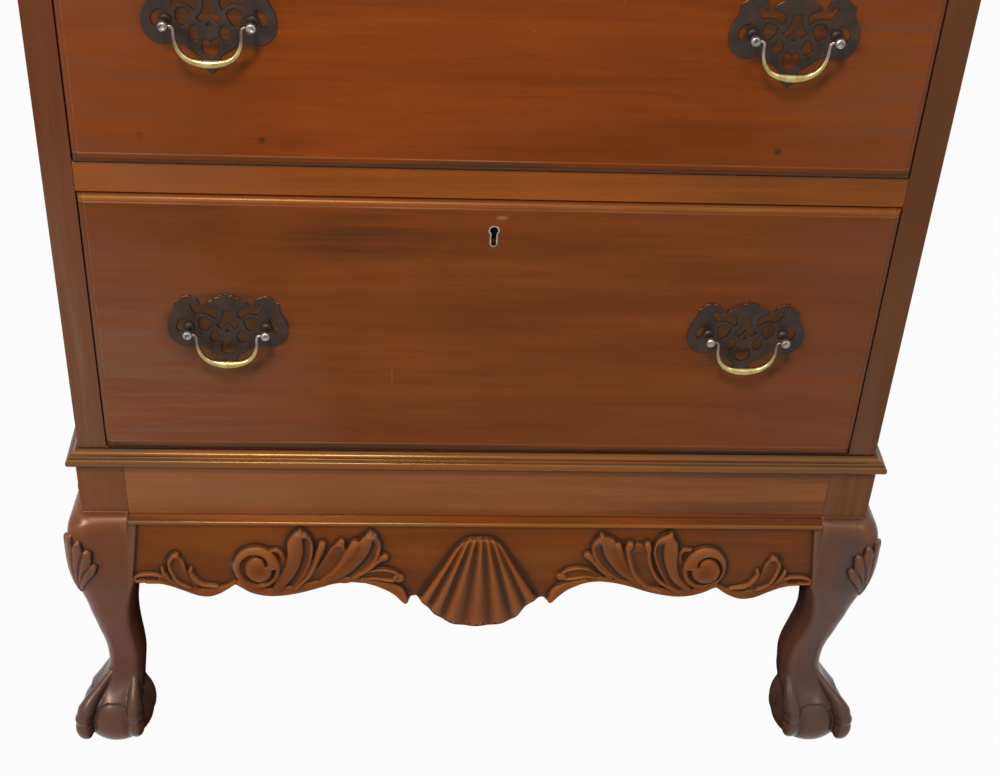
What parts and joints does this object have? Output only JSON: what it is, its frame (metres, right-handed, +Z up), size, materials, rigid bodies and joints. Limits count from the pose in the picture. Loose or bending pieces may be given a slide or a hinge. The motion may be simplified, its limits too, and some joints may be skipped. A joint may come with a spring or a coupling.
{
  "type": "highboy",
  "caption": "Tall chest of graduated drawers on a low stand with cabriole legs, claw-and-ball feet, a carved shell apron and swinging bail handles.",
  "frame": {"origin": "on the floor under the middle of the stand", "axes": "+Z up, +X to the viewer's right in front of the drawers, -Y towards the viewer"},
  "size_m": [0.9267, 0.5388, 1.602],
  "materials": {
    "mahogany": "polished red-brown",
    "drawer_wood": "plain planed",
    "dark_bronze": "dark patina",
    "post_metal": "worn plating",
    "bail_brass": "worn bright",
    "lock_metal": "plain"
  },
  "bodies": {
    "case": {"stand_rails": "mahogany", "front_right_leg": "mahogany", "front_left_leg": "mahogany", "back_right_leg": "mahogany", "back_left_leg": "mahogany", "front_apron": "mahogany", "side_aprons": "mahogany", "apron_shell": "mahogany", "apron_leaves": "mahogany", "waist_moulding": "mahogany", "right_side_panel": "mahogany", "left_side_panel": "mahogany", "right_stile": "mahogany", "left_stile": "mahogany", "drawer_rails": "mahogany", "small_drawer_divider": "mahogany", "drawer_runners": "drawer_wood", "case_bottom": "drawer_wood", "back_panel": "drawer_wood", "top_board": "mahogany", "cornice_moulding": "mahogany"},
    "bottom_drawer": {"bottom_drawer_front": "mahogany", "bottom_drawer_box": "drawer_wood", "bottom_drawer_bottom": "drawer_wood", "bottom_drawer_backplates": "dark_bronze", "bottom_drawer_posts": "post_metal", "bottom_drawer_lock": "lock_metal"},
    "bottom_drawer_left_bail": {"bottom_drawer_left_bail": "bail_brass"},
    "bottom_drawer_right_bail": {"bottom_drawer_right_bail": "bail_brass"},
    "bottom_drawer_lock_bolt": {"bottom_drawer_lock_bolt": "lock_metal"},
    "middle_drawer": {"middle_drawer_front": "mahogany", "middle_drawer_box": "drawer_wood", "middle_drawer_bottom": "drawer_wood", "middle_drawer_backplates": "dark_bronze", "middle_drawer_posts": "post_metal", "middle_drawer_lock": "lock_metal"},
    "middle_drawer_left_bail": {"middle_drawer_left_bail": "bail_brass"},
    "middle_drawer_right_bail": {"middle_drawer_right_bail": "bail_brass"},
    "middle_drawer_lock_bolt": {"middle_drawer_lock_bolt": "lock_metal"},
    "upper_drawer": {"upper_drawer_front": "mahogany", "upper_drawer_box": "drawer_wood", "upper_drawer_bottom": "drawer_wood", "upper_drawer_backplates": "dark_bronze", "upper_drawer_posts": "post_metal", "upper_drawer_lock": "lock_metal"},
    "upper_drawer_left_bail": {"upper_drawer_left_bail": "bail_brass"},
    "upper_drawer_right_bail": {"upper_drawer_right_bail": "bail_brass"},
    "upper_drawer_lock_bolt": {"upper_drawer_lock_bolt": "lock_metal"},
    "small_left_drawer": {"small_left_drawer_front": "mahogany", "small_left_drawer_box": "drawer_wood", "small_left_drawer_bottom": "drawer_wood", "small_left_drawer_backplates": "dark_bronze", "small_left_drawer_posts": "post_metal"},
    "small_left_drawer_bail": {"small_left_drawer_bail": "bail_brass"},
    "small_right_drawer": {"small_right_drawer_front": "mahogany", "small_right_drawer_box": "drawer_wood", "small_right_drawer_bottom": "drawer_wood", "small_right_drawer_backplates": "dark_bronze", "small_right_drawer_posts": "post_metal"},
    "small_right_drawer_bail": {"small_right_drawer_bail": "bail_brass"}
  },
  "joints": [
    {"name": "bottom_drawer_slide", "type": "slide", "parent": "case", "child": "bottom_drawer", "axis": [0, -1, 0], "range_m": [0, 0.32]},
    {"name": "bottom_drawer_left_bail_swing", "type": "hinge", "parent": "bottom_drawer", "child": "bottom_drawer_left_bail", "pos_m": [-0.2595, -0.2523, 0.5916], "axis": [-1, 0, 0], "range_deg": [0, 100]},
    {"name": "bottom_drawer_right_bail_swing", "type": "hinge", "parent": "bottom_drawer", "child": "bottom_drawer_right_bail", "pos_m": [0.2595, -0.2523, 0.5916], "axis": [-1, 0, 0], "range_deg": [0, 100]},
    {"name": "bottom_drawer_lock_bolt_slide", "type": "slide", "parent": "bottom_drawer", "child": "bottom_drawer_lock_bolt", "axis": [0, 0, 1], "range_m": [0, 0.009]},
    {"name": "middle_drawer_slide", "type": "slide", "parent": "case", "child": "middle_drawer", "axis": [0, -1, 0], "range_m": [0, 0.32]},
    {"name": "middle_drawer_left_bail_swing", "type": "hinge", "parent": "middle_drawer", "child": "middle_drawer_left_bail", "pos_m": [-0.2595, -0.2523, 0.9166], "axis": [-1, 0, 0], "range_deg": [0, 100]},
    {"name": "middle_drawer_right_bail_swing", "type": "hinge", "parent": "middle_drawer", "child": "middle_drawer_right_bail", "pos_m": [0.2595, -0.2523, 0.9166], "axis": [-1, 0, 0], "range_deg": [0, 100]},
    {"name": "middle_drawer_lock_bolt_slide", "type": "slide", "parent": "middle_drawer", "child": "middle_drawer_lock_bolt", "axis": [0, 0, 1], "range_m": [0, 0.009]},
    {"name": "upper_drawer_slide", "type": "slide", "parent": "case", "child": "upper_drawer", "axis": [0, -1, 0], "range_m": [0, 0.32]},
    {"name": "upper_drawer_left_bail_swing", "type": "hinge", "parent": "upper_drawer", "child": "upper_drawer_left_bail", "pos_m": [-0.2595, -0.2523, 1.2176], "axis": [-1, 0, 0], "range_deg": [0, 100]},
    {"name": "upper_drawer_right_bail_swing", "type": "hinge", "parent": "upper_drawer", "child": "upper_drawer_right_bail", "pos_m": [0.2595, -0.2523, 1.2176], "axis": [-1, 0, 0], "range_deg": [0, 100]},
    {"name": "upper_drawer_lock_bolt_slide", "type": "slide", "parent": "upper_drawer", "child": "upper_drawer_lock_bolt", "axis": [0, 0, 1], "range_m": [0, 0.009]},
    {"name": "small_left_drawer_slide", "type": "slide", "parent": "case", "child": "small_left_drawer", "axis": [0, -1, 0], "range_m": [0, 0.32]},
    {"name": "small_left_drawer_bail_swing", "type": "hinge", "parent": "small_left_drawer", "child": "small_left_drawer_bail", "pos_m": [-0.205, -0.2523, 1.4676], "axis": [-1, 0, 0], "range_deg": [0, 100]},
    {"name": "small_right_drawer_slide", "type": "slide", "parent": "case", "child": "small_right_drawer", "axis": [0, -1, 0], "range_m": [0, 0.32]},
    {"name": "small_right_drawer_bail_swing", "type": "hinge", "parent": "small_right_drawer", "child": "small_right_drawer_bail", "pos_m": [0.205, -0.2523, 1.4676], "axis": [-1, 0, 0], "range_deg": [0, 100]}
  ]
}
